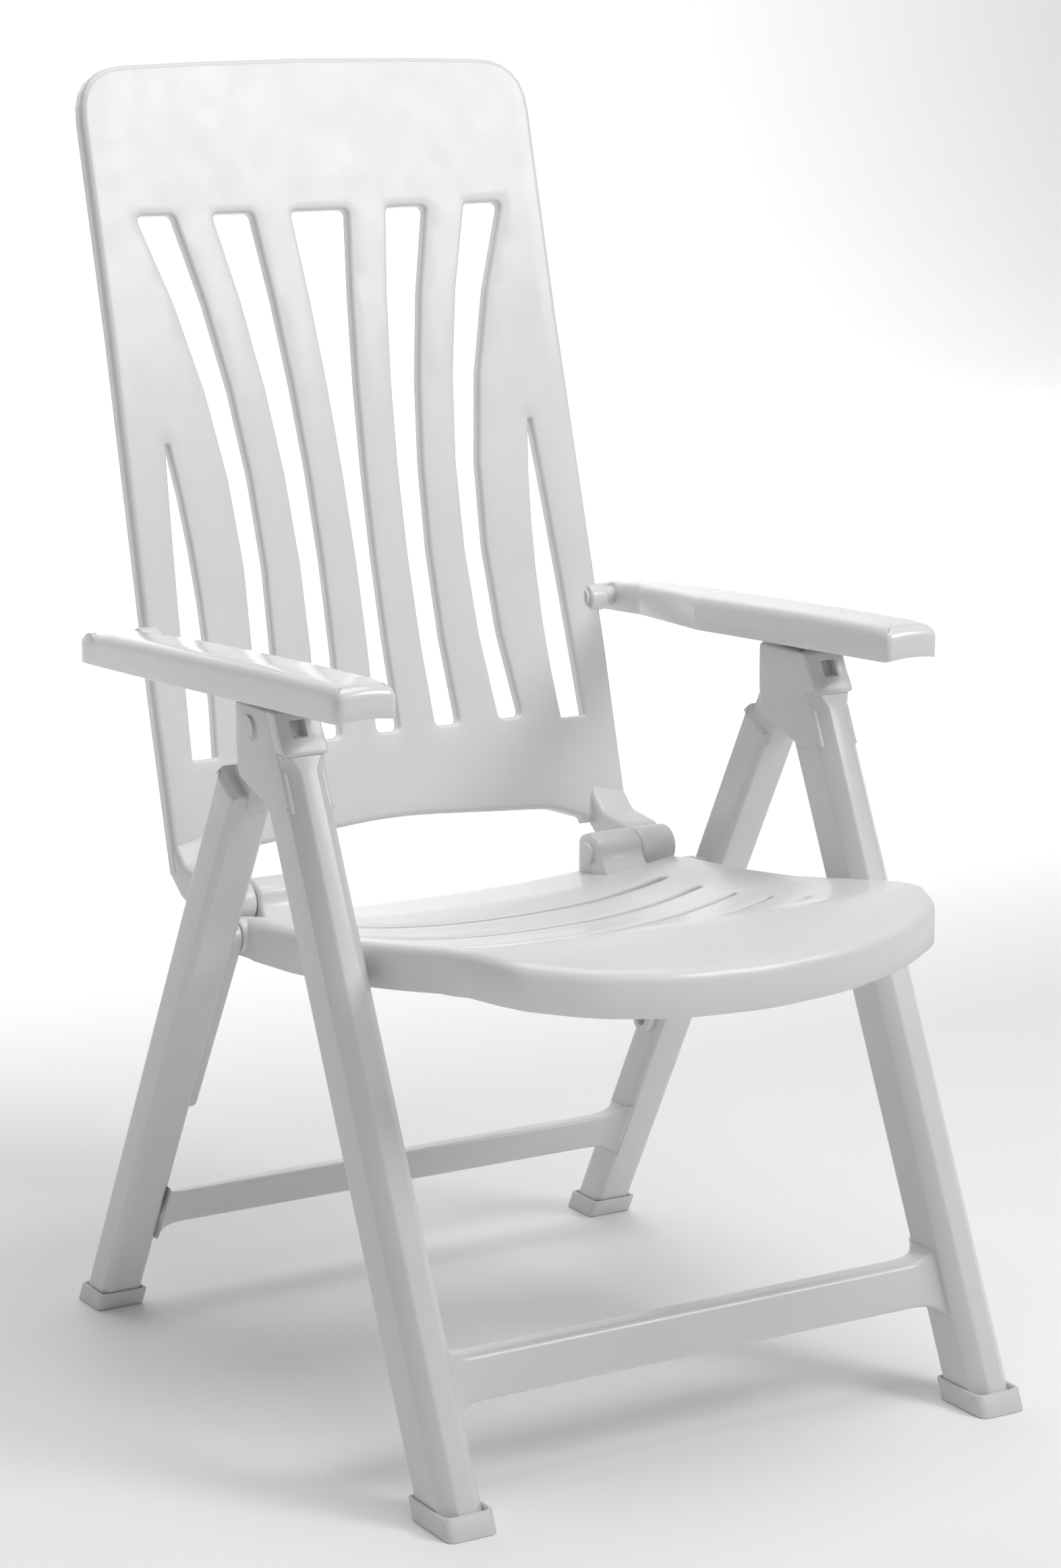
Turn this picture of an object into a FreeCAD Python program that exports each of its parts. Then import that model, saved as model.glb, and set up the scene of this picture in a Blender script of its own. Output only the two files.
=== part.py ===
import FreeCAD, Part
import math
import os

import Sketcher

# A folding, reclining resin garden armchair.  Millimetres.  x runs across the chair, y from front to
# back and z up; the chair is symmetric about x = 0.  The side-view sizes count y from the line
# `front_room` ahead of the front feet; at the end every piece is shifted so that the origin lies on
# the floor under the middle of the chair.

SIZES = [
    # legs
    ("front_foot", 60), ("rear_foot", 694), ("front_lean", 24.56), ("rear_lean", 28.37),
    ("leg_wide", 40), ("front_leg_inner", 243), ("rear_leg_inner", 247),
    ("front_leg_deep", 50), ("rear_leg_deep", 40), ("rear_toe_deep", 34),
    ("nose_chamfer", 13), ("leg_chamfer", 5),
    # hub where the two legs cross, and the post that carries the arm
    ("pivot_y", 362), ("pivot_z", 600), ("hub_radius", 61.5), ("hub_rear", 388), ("hub_low", 584),
    ("hub_high", 621), ("post_high", 641), ("post_deep", 34), ("post_y", 343), ("cheek", 8),
    ("tongue_radius", 26), ("tongue_deep", 36), ("window", 13),
    # crossbars
    ("front_bar_z", 102), ("rear_bar_z", 103), ("bar_high", 35), ("bar_deep", 20), ("bar_back", 8),
    # seat linkage: the pivot, the seat's front pin and its sliding rear pin make equal sides
    ("link_reach", 212.4), ("link_angle", 55.5), ("track_lean", 29.66), ("track_travel", 188),
    ("track_wide", 26), ("track_high", 9), ("groove_wide", 12), ("fold", 39),
    # feet
    ("cap_wall", 3.5), ("cap_floor", 4), ("cap_high", 20),
    # seat
    ("seat_half", 232), ("seat_rear_y", 553), ("seat_front_y", 78), ("seat_bow", 44),
    ("seat_corner", 46), ("seat_rear_z", 399), ("seat_rim_z", 424), ("seat_brow_z", 455),
    ("seat_skin", 4), ("seat_dish", 30), ("seat_skirt", 37), ("seat_wall", 5), ("seat_slot_wide", 9),
    ("seat_slots", 5),
    # back
    ("back_lean", 14.9), ("back_y", 633), ("back_z", 520), ("back_top", 631), ("back_arch", -76),
    ("back_hollow", 12), ("back_skin", 5), ("back_edge", 17), ("back_half_top", 233),
    ("back_half_low", 238), ("back_corner", 57), ("slot_low", 2), ("slot_high", 488),
    ("side_slot_high", 280), ("lobe_inner", 200.5),
    # hinge between the seat and the back
    ("hinge_y", 530), ("hinge_z", 408), ("knuckle", 19), ("seat_knuckle_wide", 48),
    ("back_knuckle_wide", 37.5),
    # arms
    ("arm_pivot_y", 655), ("arm_pivot_z", 624), ("arm_front", 188), ("arm_rear", 698),
    ("arm_inner", 239), ("arm_wide", 55), ("arm_rear_wide", 40), ("arm_skin", 3.5),
    ("arm_front_z", 634), ("arm_front_high", 27), ("arm_mid_z", 620), ("arm_mid_high", 34),
    ("arm_rear_z", 605), ("arm_rear_high", 30), ("arm_round", 9), ("rack_tooth", 4),
    ("rack_pitch", 22.44), ("rack_steps", 5), ("rack_wide", 5),
    # pins and bushes
    ("pin_radius", 6), ("leg_pin_radius", 8), ("catch_radius", 5), ("bush_radius", 9),
    ("boss_radius", 15), ("head_high", 3), ("running_gap", 0.05), ("side_gap", 0.5),
    # how far behind the drawing line the origin lies; measured from the finished chair below
    ("middle", 0),
]

# Places worked out from the sizes, as sheet formulas.
PLACES = [
    ("front_slope", "=tan(dims.front_lean)"),
    ("rear_slope", "=tan(dims.rear_lean)"),
    ("front_half", "=dims.front_leg_deep / 2 / cos(dims.front_lean)"),
    ("rear_half", "=dims.rear_leg_deep / 2 / cos(dims.rear_lean)"),
    ("rear_toe_half", "=dims.rear_toe_deep / 2 / cos(dims.rear_lean)"),
    ("slide_y", "=dims.pivot_y + 2 * dims.link_reach * cos(dims.link_angle) * sin(dims.track_lean)"),
    ("slide_z", "=dims.pivot_z - 2 * dims.link_reach * cos(dims.link_angle) * cos(dims.track_lean)"),
    ("seat_pin_y", "=dims.pivot_y + dims.link_reach * sin(dims.track_lean - dims.link_angle)"),
    ("seat_pin_z", "=dims.pivot_z - dims.link_reach * cos(dims.track_lean - dims.link_angle)"),
    ("track_end_y", "=slide_y + dims.track_travel * sin(dims.track_lean)"),
    ("track_end_z", "=slide_z - dims.track_travel * cos(dims.track_lean)"),
    ("front_leg_outer", "=dims.front_leg_inner + dims.leg_wide"),
    ("rear_leg_outer", "=dims.rear_leg_inner + dims.leg_wide"),
    ("tongue_inner", "=dims.front_leg_inner + dims.cheek + dims.side_gap"),
    ("tongue_wide", "=dims.leg_wide - 2 * dims.cheek - 2 * dims.side_gap"),
    ("seat_knuckle_inner", "=dims.lobe_inner - dims.side_gap - dims.seat_knuckle_wide"),
]

doc = FreeCAD.newDocument("garden_chair")
dims = doc.addObject("Spreadsheet::Sheet", "dims")
for row, (alias, number) in enumerate(SIZES, start=1):
    dims.set(f"A{row}", alias)
    dims.set(f"B{row}", str(number))
    dims.setAlias(f"B{row}", alias)
doc.recompute()
marks = doc.addObject("Spreadsheet::Sheet", "marks")
for row, (alias, formula) in enumerate(PLACES, start=1):
    marks.set(f"A{row}", alias)
    marks.setAlias(f"B{row}", alias)
for row, (alias, formula) in enumerate(PLACES, start=1):
    marks.set(f"B{row}", formula)
    doc.recompute()


def plain(quantity):
    return float(getattr(quantity, "Value", quantity))


def size(alias):
    """The number behind a name of either sheet."""
    owner = dims if alias in DRIVEN else marks
    return plain(owner.get(alias))


DRIVEN = {alias for alias, number in SIZES}


def worth(expression):
    """What an expression comes to."""
    return plain(dims.evalExpression(expression))


def front_line(height):
    """Expression for y on the front leg's centre line at a height."""
    return f"(dims.front_foot + ({height}) * marks.front_slope)"


def rear_line(height):
    """Expression for y on the rear leg's centre line at a height."""
    return f"(dims.rear_foot - ({height}) * marks.rear_slope)"


# ---------------------------------------------------------------- PartDesign helpers


def origin_plane(body, role):
    return next(feature for feature in body.Origin.OriginFeatures if feature.Role == role)


def new_sketch(body, name, role, offset):
    sketch = body.newObject("Sketcher::SketchObject", name)
    sketch.AttachmentSupport = [(origin_plane(body, role), "")]
    sketch.MapMode = "FlatFace"
    sketch.setExpression("AttachmentOffset.Base.z", offset)
    return sketch


def bind(sketch, kind, index, point, expression):
    constraint = sketch.addConstraint(Sketcher.Constraint(kind, -1, 1, index, point, worth(expression)))
    sketch.setExpression(f"Constraints[{constraint}]", expression)


def polygon(body, name, offset, corners, role="YZ_Plane"):
    """Closed outline whose corners are pairs of expressions."""
    sketch = new_sketch(body, name, role, offset)
    spots = [FreeCAD.Vector(worth(a), worth(b), 0) for a, b in corners]
    count = len(spots)
    for index in range(count):
        sketch.addGeometry(Part.LineSegment(spots[index], spots[(index + 1) % count]), False)
    for index in range(count):
        sketch.addConstraint(Sketcher.Constraint("Coincident", index, 2, (index + 1) % count, 1))
    for index, (a, b) in enumerate(corners):
        bind(sketch, "DistanceX", index, 1, a)
        bind(sketch, "DistanceY", index, 1, b)
    return sketch


def disc(body, name, offset, centre, radius, role="YZ_Plane"):
    sketch = new_sketch(body, name, role, offset)
    middle = FreeCAD.Vector(worth(centre[0]), worth(centre[1]), 0)
    sketch.addGeometry(Part.Circle(middle, FreeCAD.Vector(0, 0, 1), worth(radius)), False)
    bind(sketch, "DistanceX", 0, 3, centre[0])
    bind(sketch, "DistanceY", 0, 3, centre[1])
    constraint = sketch.addConstraint(Sketcher.Constraint("Radius", 0, worth(radius)))
    sketch.setExpression(f"Constraints[{constraint}]", radius)
    return sketch


def pad(body, sketch, length):
    feature = body.newObject("PartDesign::Pad", f"{sketch.Name}_pad")
    feature.Profile = sketch
    feature.setExpression("Length", length)
    sketch.Visibility = False
    doc.recompute()
    return feature


def pocket(body, sketch, length):
    """Cuts towards +x from the sketch."""
    before = body.Shape.Volume
    feature = body.newObject("PartDesign::Pocket", f"{sketch.Name}_pocket")
    feature.Profile = sketch
    feature.Reversed = True
    feature.setExpression("Length", length)
    doc.recompute()
    if body.Shape.Volume >= before - 1:
        raise ValueError(f"{sketch.Name} cuts nothing")
    return feature


def edge_names(shape, wanted):
    return [f"Edge{number}" for number, edge in enumerate(shape.Edges, start=1) if wanted(edge)]


def bevel(body, kind, amount, wanted):
    """Chamfer or Fillet on the edges that `wanted` picks."""
    base = body.Tip
    names = edge_names(base.Shape, wanted)
    feature = body.newObject(f"PartDesign::{kind}", f"{body.Name}_{kind}")
    feature.Base = (base, names)
    feature.setExpression("Size" if kind == "Chamfer" else "Radius", amount)
    doc.recompute()
    return feature


def runs_along(edge, direction, least):
    """True for a straight edge of at least that length along a direction."""
    if edge.Curve.TypeId != "Part::GeomLine" or edge.Length < least:
        return False
    return abs(abs(edge.Curve.Direction.dot(direction)) - 1) < 1e-3


def both_sides(label, half):
    """The right half and its mirror image, made into one solid."""
    mirror = doc.addObject("Part::Mirroring", f"{label}_mirror")
    mirror.Source = half
    mirror.Normal = FreeCAD.Vector(1, 0, 0)
    fused = doc.addObject("Part::Fuse", label)
    fused.Base = half
    fused.Tool = mirror
    fused.Refine = True
    fused.Label = label
    return fused


pieces = []


def keep(piece, drawn_at="0"):
    """Keeps a piece and binds its place to the origin under the middle of the chair."""
    piece.setExpression("Placement.Base.y", f"{drawn_at} - dims.middle")
    pieces.append(piece)
    return piece


def keep_left(right, label):
    """The mirror image of a kept piece, which follows that piece's place."""
    mirror = doc.addObject("Part::Mirroring", label)
    mirror.Source = right
    mirror.Normal = FreeCAD.Vector(1, 0, 0)
    mirror.Label = label
    pieces.append(mirror)


# ---------------------------------------------------------------- legs


def leg_corners(line, half_low, half_high, low, high):
    return [
        (f"{line(low)} - ({half_low})", low),
        (f"{line(low)} + ({half_low})", low),
        (f"{line(high)} + ({half_high})", high),
        (f"{line(high)} - ({half_high})", high),
    ]


def bar_corners(line, height, lean_sign, back):
    """Section of a crossbar, standing along the leg's lean."""
    slope = "marks.front_slope" if lean_sign > 0 else "(-marks.rear_slope)"
    middle = f"({line(height)} + ({back}))"
    up = "dims.bar_high / 2"
    deep = "dims.bar_deep / 2"
    return [
        (f"{middle} - ({up}) * {slope} - {deep}", f"{height} - {up}"),
        (f"{middle} - ({up}) * {slope} + {deep}", f"{height} - {up}"),
        (f"{middle} + ({up}) * {slope} + {deep}", f"{height} + {up}"),
        (f"{middle} + ({up}) * {slope} - {deep}", f"{height} + {up}"),
    ]


PIVOT = ("dims.pivot_y", "dims.pivot_z")


def swung(reach, angle):
    """Point at a distance from the leg pivot; the angle counts from straight down to the rear."""
    return (
        f"dims.pivot_y + ({reach}) * sin({angle})",
        f"dims.pivot_z - ({reach}) * cos({angle})",
    )


def front_half():
    body = doc.addObject("PartDesign::Body", "front_leg_half")
    inner = "dims.front_leg_inner"
    leg = leg_corners(front_line, "marks.front_half", "marks.front_half", "dims.cap_floor", "dims.hub_low")
    pad(body, polygon(body, "front_leg_side", inner, leg), "dims.leg_wide")
    lean = math.radians(size("front_lean"))
    along = FreeCAD.Vector(0, math.sin(lean), math.cos(lean))

    def at_front(edge):
        middle = edge.CenterOfMass
        return runs_along(edge, along, 100) and middle.y < worth(front_line(str(middle.z)))

    def at_rear(edge):
        middle = edge.CenterOfMass
        return runs_along(edge, along, 100) and middle.y > worth(front_line(str(middle.z)))

    bevel(body, "Chamfer", "dims.nose_chamfer", at_front)
    bevel(body, "Chamfer", "dims.leg_chamfer", at_rear)
    bar = bar_corners(front_line, "dims.front_bar_z", 1, "dims.bar_back")
    pad(body, polygon(body, "front_bar_side", "0", bar), "dims.front_leg_inner + 1")
    hub = [
        (f"{front_line('dims.hub_low')} - marks.front_half", "dims.hub_low"),
        (f"{front_line('dims.hub_low - 50')} + marks.front_half - 12", "dims.hub_low - 50"),
        ("dims.hub_rear - 3", "dims.hub_low - 28"),
        ("dims.hub_rear", "dims.hub_low"),
        ("dims.hub_rear", "dims.hub_high"),
        (f"{front_line('dims.hub_high')} - marks.front_half", "dims.hub_high"),
    ]
    pad(body, polygon(body, "hub_side", inner, hub), "dims.leg_wide")
    post = [
        ("dims.post_y - dims.post_deep / 2", "dims.hub_high - 10"),
        ("dims.post_y + dims.post_deep / 2", "dims.hub_high - 10"),
        ("dims.post_y + dims.post_deep / 2 - 4", "dims.post_high"),
        ("dims.post_y - dims.post_deep / 2 + 4", "dims.post_high"),
    ]
    post_inner = "dims.front_leg_inner + dims.cheek"
    pad(body, polygon(body, "post_side", post_inner, post), "dims.leg_wide - 2 * dims.cheek")
    folded = "(dims.track_lean - dims.fold)"
    room = "(dims.tongue_deep / 2 + dims.side_gap)"
    slot = [
        (
            f"dims.pivot_y - {room} * cos({folded})",
            f"dims.pivot_z - {room} * sin({folded})",
        ),
        (
            f"dims.pivot_y - {room} * cos({folded}) + 80 * sin({folded})",
            f"dims.pivot_z - {room} * sin({folded}) - 80 * cos({folded})",
        ),
        ("dims.hub_rear + 40", "dims.pivot_z - 90"),
        ("dims.hub_rear + 40", "dims.pivot_z + dims.tongue_radius / 2"),
        ("dims.pivot_y", "dims.pivot_z + dims.tongue_radius / 2"),
    ]
    slot_wide = "dims.leg_wide - 2 * dims.cheek"
    pocket(body, polygon(body, "tongue_slot", post_inner, slot), slot_wide)
    round_room = "dims.tongue_radius + 1"
    pocket(body, disc(body, "tongue_round", post_inner, PIVOT, round_room), slot_wide)
    pin_hole = disc(body, "leg_pin_hole", "0", PIVOT, "dims.leg_pin_radius + dims.running_gap")
    pocket(body, pin_hole, "marks.front_leg_outer + 10")
    seat_pin = ("marks.seat_pin_y", "marks.seat_pin_z")
    seat_hole = disc(body, "seat_pin_hole", "0", seat_pin, "dims.pin_radius + dims.running_gap")
    pocket(body, seat_hole, "marks.front_leg_outer - 6")
    catch = ("dims.post_y", "dims.post_high - dims.catch_radius - 4")
    catch_hole = disc(body, "catch_hole", "0", catch, "dims.catch_radius + dims.running_gap")
    pocket(body, catch_hole, "marks.front_leg_outer + 10")
    window = [
        (f"{front_line('dims.hub_high - 10')} - dims.window / 2 - 8", "dims.hub_high - 10 - dims.window"),
        (f"{front_line('dims.hub_high - 10')} + dims.window / 2 - 8", "dims.hub_high - 10 - dims.window"),
        (f"{front_line('dims.hub_high - 10')} + dims.window / 2 - 8", "dims.hub_high - 10"),
        (f"{front_line('dims.hub_high - 10')} - dims.window / 2 - 8", "dims.hub_high - 10"),
    ]
    pocket(body, polygon(body, "inner_window", "dims.front_leg_inner - 1", window), "4")
    pocket(body, polygon(body, "outer_window", "marks.front_leg_outer - 3", window), "4")
    return body


def rear_half():
    body = doc.addObject("PartDesign::Body", "rear_leg_half")
    inner = "dims.rear_leg_inner"
    high = "dims.pivot_z"
    leg = leg_corners(rear_line, "marks.rear_toe_half", "marks.rear_half", "dims.cap_floor", high)
    pad(body, polygon(body, "rear_leg_side", inner, leg), "dims.leg_wide")

    def lengthwise(edge):
        return edge.Length > 300

    bevel(body, "Chamfer", "dims.leg_chamfer", lengthwise)
    clear = disc(body, "hub_clear", "dims.rear_leg_inner - 1", PIVOT, "dims.hub_radius + 4")
    pocket(body, clear, "dims.leg_wide + 2")
    half = "dims.tongue_deep / 2"
    lean = "dims.track_lean"
    tongue = [
        (
            f"dims.pivot_y - {half} * cos({lean})",
            f"dims.pivot_z - {half} * sin({lean})",
        ),
        (
            f"dims.pivot_y - {half} * cos({lean}) + (dims.hub_radius + 20) * sin({lean})",
            f"dims.pivot_z - {half} * sin({lean}) - (dims.hub_radius + 20) * cos({lean})",
        ),
        (
            f"dims.pivot_y + {half} * cos({lean}) + (dims.hub_radius + 20) * sin({lean})",
            f"dims.pivot_z + {half} * sin({lean}) - (dims.hub_radius + 20) * cos({lean})",
        ),
        (
            f"dims.pivot_y + {half} * cos({lean})",
            f"dims.pivot_z + {half} * sin({lean})",
        ),
    ]
    pad(body, polygon(body, "tongue_side", "marks.tongue_inner", tongue), "marks.tongue_wide")
    round_end = disc(body, "tongue_end", "marks.tongue_inner", PIVOT, "dims.tongue_radius")
    pad(body, round_end, "marks.tongue_wide")
    bar = bar_corners(rear_line, "dims.rear_bar_z", -1, "-4")
    pad(body, polygon(body, "rear_bar_side", "0", bar), "dims.rear_leg_inner + 1")
    along = "dims.track_wide / 2"
    rail = [
        (
            f"marks.slide_y - {along} * cos({lean}) - 6 * sin({lean})",
            f"marks.slide_z - {along} * sin({lean}) + 6 * cos({lean})",
        ),
        (
            f"marks.track_end_y - {along} * cos({lean})",
            f"marks.track_end_z - {along} * sin({lean})",
        ),
        (
            f"marks.track_end_y + {along} * cos({lean})",
            f"marks.track_end_z + {along} * sin({lean})",
        ),
        (
            f"marks.slide_y + {along} * cos({lean}) - 6 * sin({lean})",
            f"marks.slide_z + {along} * sin({lean}) + 6 * cos({lean})",
        ),
    ]
    rail_inner = "dims.rear_leg_inner - dims.track_high"
    pad(body, polygon(body, "rail_side", rail_inner, rail), "dims.track_high + 1")
    track_end = ("marks.track_end_y", "marks.track_end_z")
    pad(body, disc(body, "rail_end", rail_inner, track_end, along), "dims.track_high + 1")
    slide = ("marks.slide_y", "marks.slide_z")
    pad(body, disc(body, "rail_start", rail_inner, slide, along), "dims.track_high + 1")
    narrow = "dims.groove_wide / 2"
    groove = [
        (f"marks.slide_y - {narrow} * cos({lean})", f"marks.slide_z - {narrow} * sin({lean})"),
        (f"marks.track_end_y - {narrow} * cos({lean})", f"marks.track_end_z - {narrow} * sin({lean})"),
        (f"marks.track_end_y + {narrow} * cos({lean})", f"marks.track_end_z + {narrow} * sin({lean})"),
        (f"marks.slide_y + {narrow} * cos({lean})", f"marks.slide_z + {narrow} * sin({lean})"),
    ]
    groove_inner = f"{rail_inner} - 1"
    groove_deep = "dims.track_high + 1"
    pocket(body, polygon(body, "groove_side", groove_inner, groove), groove_deep)
    pocket(body, disc(body, "groove_end", groove_inner, track_end, narrow), groove_deep)
    pocket(body, disc(body, "groove_start", groove_inner, slide, narrow), groove_deep)
    pin_hole = disc(body, "leg_pin_hole_rear", "0", PIVOT, "dims.leg_pin_radius + dims.running_gap")
    pocket(body, pin_hole, "marks.rear_leg_outer + 10")
    return body


def foot_cap(label, line, half, inner):
    """Push-on cap that closes the end of a leg."""
    body = doc.addObject("PartDesign::Body", f"{label}_body")
    outer = leg_corners(line, f"{half} + dims.cap_wall", f"{half} + dims.cap_wall", "0", "dims.cap_high")
    start = f"{inner} - dims.cap_wall"
    pad(body, polygon(body, f"{label}_outer", start, outer), "dims.leg_wide + 2 * dims.cap_wall")

    def upright(edge):
        return edge.Vertexes[0].Z != edge.Vertexes[-1].Z

    bevel(body, "Chamfer", "dims.leg_chamfer", upright)
    room = f"{half} + dims.side_gap / 2"
    cavity = leg_corners(line, room, room, "dims.cap_floor", "dims.cap_high + 5")
    hollow = polygon(body, f"{label}_cavity", f"{inner} - dims.running_gap", cavity)
    pocket(body, hollow, "dims.leg_wide + 2 * dims.running_gap")
    body.Label = label
    return body


front_frame = keep(both_sides("front_leg_frame", front_half()))
rear_frame = keep(both_sides("rear_leg_frame", rear_half()))
for label, line, half, inner in [
    ("front_foot_cap", front_line, "marks.front_half", "dims.front_leg_inner"),
    ("rear_foot_cap", rear_line, "marks.rear_toe_half", "dims.rear_leg_inner"),
]:
    cap = keep(foot_cap(f"{label}_right", line, half, inner))
    keep_left(cap, f"{label}_left")


# ---------------------------------------------------------------- pins and bushes


def cylinder(name, centre, radius, start, length):
    rod = doc.addObject("Part::Cylinder", name)
    rod.setExpression("Radius", radius)
    rod.setExpression("Height", length)
    rod.Placement.Rotation = FreeCAD.Rotation(FreeCAD.Vector(0, 1, 0), 90)
    rod.setExpression("Placement.Base.x", start)
    rod.setExpression("Placement.Base.y", centre[0])
    rod.setExpression("Placement.Base.z", centre[1])
    return rod


def headed_pin(label, centre, radius, start, length, head_at):
    """A plain shaft with a flat round head at one end."""
    shaft = cylinder(f"{label}_shaft", centre, radius, start, length)
    head = cylinder(f"{label}_head", centre, f"{radius} + 3", head_at, "dims.head_high")
    pin = doc.addObject("Part::Fuse", f"{label}_right")
    pin.Base = shaft
    pin.Tool = head
    pin.Label = f"{label}_right"
    return pin


SEAT_PIN = ("marks.seat_pin_y", "marks.seat_pin_z")
SLIDE_PIN = ("marks.slide_y", "marks.slide_z")
HINGE = ("dims.hinge_y", "dims.hinge_z")
ARM_PIVOT = ("dims.arm_pivot_y", "dims.arm_pivot_z")
CATCH = ("dims.post_y", "dims.post_high - dims.catch_radius - 4")

leg_pin = headed_pin(
    "leg_pivot_pin", PIVOT, "dims.leg_pin_radius", "dims.front_leg_inner",
    "dims.leg_wide + dims.head_high", "marks.front_leg_outer",
)
seat_pin = headed_pin(
    "seat_front_pin", SEAT_PIN, "dims.pin_radius", "dims.seat_half - dims.seat_wall",
    "marks.front_leg_outer - dims.seat_half - 3", "dims.seat_half - dims.seat_wall - dims.head_high",
)
slide_pin = headed_pin(
    "seat_slide_pin", SLIDE_PIN, "dims.groove_wide / 2 - 0.1", "dims.seat_half - dims.seat_wall",
    "dims.rear_leg_inner - 1 - dims.seat_half + dims.seat_wall",
    "dims.seat_half - dims.seat_wall - dims.head_high",
)
hinge_pin = headed_pin(
    "back_hinge_pin", HINGE, "dims.pin_radius", "marks.seat_knuckle_inner",
    "dims.lobe_inner + dims.back_knuckle_wide - marks.seat_knuckle_inner - 3",
    "marks.seat_knuckle_inner - dims.head_high",
)
arm_pin = headed_pin(
    "arm_pivot_pin", ARM_PIVOT, "dims.pin_radius", "dims.back_half_low - 12",
    "dims.arm_inner + dims.arm_wide - dims.arm_skin - 5 - dims.back_half_low + 12",
    "dims.back_half_low - 12 - dims.head_high",
)
catch_pin = cylinder(
    "arm_catch_right", CATCH, "dims.catch_radius", "dims.front_leg_inner + 1", "dims.leg_wide - 2",
)
catch_pin.Label = "arm_catch_right"
bush_outer = cylinder(
    "bush_outer", ARM_PIVOT, "dims.bush_radius", "dims.back_half_low + 8",
    "dims.arm_inner + dims.arm_wide - dims.arm_skin - 5 - dims.back_half_low - 8",
)
bush_bore = cylinder(
    "bush_bore", ARM_PIVOT, "dims.pin_radius + dims.running_gap", "dims.back_half_low", "60",
)
bush = doc.addObject("Part::Cut", "arm_pivot_bush_right")
bush.Base = bush_outer
bush.Tool = bush_bore
bush.Label = "arm_pivot_bush_right"
for right in [leg_pin, seat_pin, slide_pin, hinge_pin, arm_pin, bush]:
    keep(right)
    keep_left(right, right.Label.replace("_right", "_left"))
keep(catch_pin, CATCH[0])
keep_left(catch_pin, "arm_catch_left")
doc.recompute()


# ---------------------------------------------------------------- curved shells (Part functions)


def spot(plane, a, b, depth=0):
    """A point in a drawing plane: side is (y, z), front is (x, z), plan is (x, y)."""
    if plane == "side":
        return FreeCAD.Vector(depth, a, b)
    if plane == "front":
        return FreeCAD.Vector(a, depth, b)
    return FreeCAD.Vector(a, b, depth)


THICKNESS = {"side": (1, 0, 0), "front": (0, 1, 0), "plan": (0, 0, 1)}


def slab(plane, start, end, path):
    """Solid between two depths; a path step of four numbers is an arc through its first pair."""
    edges = []
    here = spot(plane, *path[0], start)
    first = here
    for step in path[1:] + [path[0]]:
        there = spot(plane, *step[-2:], start)
        if len(step) == 4:
            edges.append(Part.Arc(here, spot(plane, *step[:2], start), there).toShape())
        elif here.distanceToPoint(there) > 1e-6:
            edges.append(Part.LineSegment(here, there).toShape())
        here = there
    face = Part.Face(Part.Wire(edges))
    return face.extrude(FreeCAD.Vector(*THICKNESS[plane]) * (end - start))


def rod_x(y, z, radius, start, end):
    return Part.makeCylinder(radius, end - start, FreeCAD.Vector(start, y, z), FreeCAD.Vector(1, 0, 0))


def mirrored(shape):
    return shape.mirror(FreeCAD.Vector(0, 0, 0), FreeCAD.Vector(1, 0, 0))


def shaped(label, shape, placement=FreeCAD.Placement(), drawn_at="0"):
    feature = doc.addObject("Part::Feature", label)
    feature.Shape = shape
    feature.Placement = placement
    feature.Label = label
    return keep(feature, drawn_at)


def seat_shape():
    half = size("seat_half")
    rear, front = size("seat_rear_y"), size("seat_front_y")
    bow, corner = size("seat_bow"), size("seat_corner")
    rim, brow, low = size("seat_rim_z"), size("seat_brow_z"), size("seat_rear_z")
    skin, dish, skirt, wall = size("seat_skin"), size("seat_dish"), size("seat_skirt"), size("seat_wall")
    top = brow + 20
    turn = corner * (1 - math.sqrt(0.5))

    def plan(inset):
        side = half - inset
        return slab("plan", low - 90, top, [
            (-side, rear - inset),
            (side, rear - inset),
            (side, front + corner),
            (side - turn + inset * 0.3, front + turn + inset * 0.3, half - corner, front + inset),
            (0, front - bow + inset, -half + corner, front + inset),
            (-side + turn - inset * 0.3, front + turn + inset * 0.3, -side, front + corner),
        ])

    def side(drop):
        """Everything below the seat's side line, lowered by a drop."""
        return slab("side", -half, half, [
            (front - bow - 5, low - 90),
            (rear + 5, low - 90),
            (rear + 5, low - drop),
            ((rear + front) / 2 + 60, rim - 6 - drop, front + 105, brow - 8 - drop),
            (front + 40, brow + 3 - drop, front - 12, brow - 9 - drop),
            (front - bow - 5, brow - 30 - drop),
        ])

    def dished(drop):
        """The hollow above the pan, as a long trough from back to front."""
        edge = half - 14
        section = [
            (-edge, top + 10), (edge, top + 10), (edge, rim + 4 - drop),
            (0, rim - dish * 1.6 - drop, -edge, rim + 4 - drop),
        ]
        trough = slab("front", front + 60 - drop * 1.5, rear + 10, section)
        trough.rotate(
            FreeCAD.Vector(0, rear, rim - dish), FreeCAD.Vector(1, 0, 0),
            -math.degrees(math.atan2(brow - low - 20, rear - front)),
        )
        return trough

    outer = plan(0).common(side(0)).cut(dished(0))
    room = plan(wall).common(side(skin)).cut(dished(skin))
    floor_cut = slab("side", -half - 1, half + 1, [
        (front - bow - 10, low - 100),
        (rear + 10, low - 100),
        (rear + 10, low - skirt),
        ((rear + front) / 2, rim - 20 - skirt, front + 90, brow - 6 - skirt),
        (front - bow - 10, brow - 10 - skirt),
    ])
    shell = outer.cut(room).cut(floor_cut)
    pitch = (rear - front - 190) / size("seat_slots")
    for number in range(int(size("seat_slots"))):
        middle = front + 120 + pitch * number
        reach = half - 52
        wide = size("seat_slot_wide") / 2
        shell = shell.cut(slab("plan", low - 60, top, [
            (-reach, middle + 18 - wide),
            (0, middle - wide, reach, middle + 18 - wide),
            (reach, middle + 18 + wide),
            (0, middle + wide, -reach, middle + 18 + wide),
        ]))
    return shell


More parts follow.
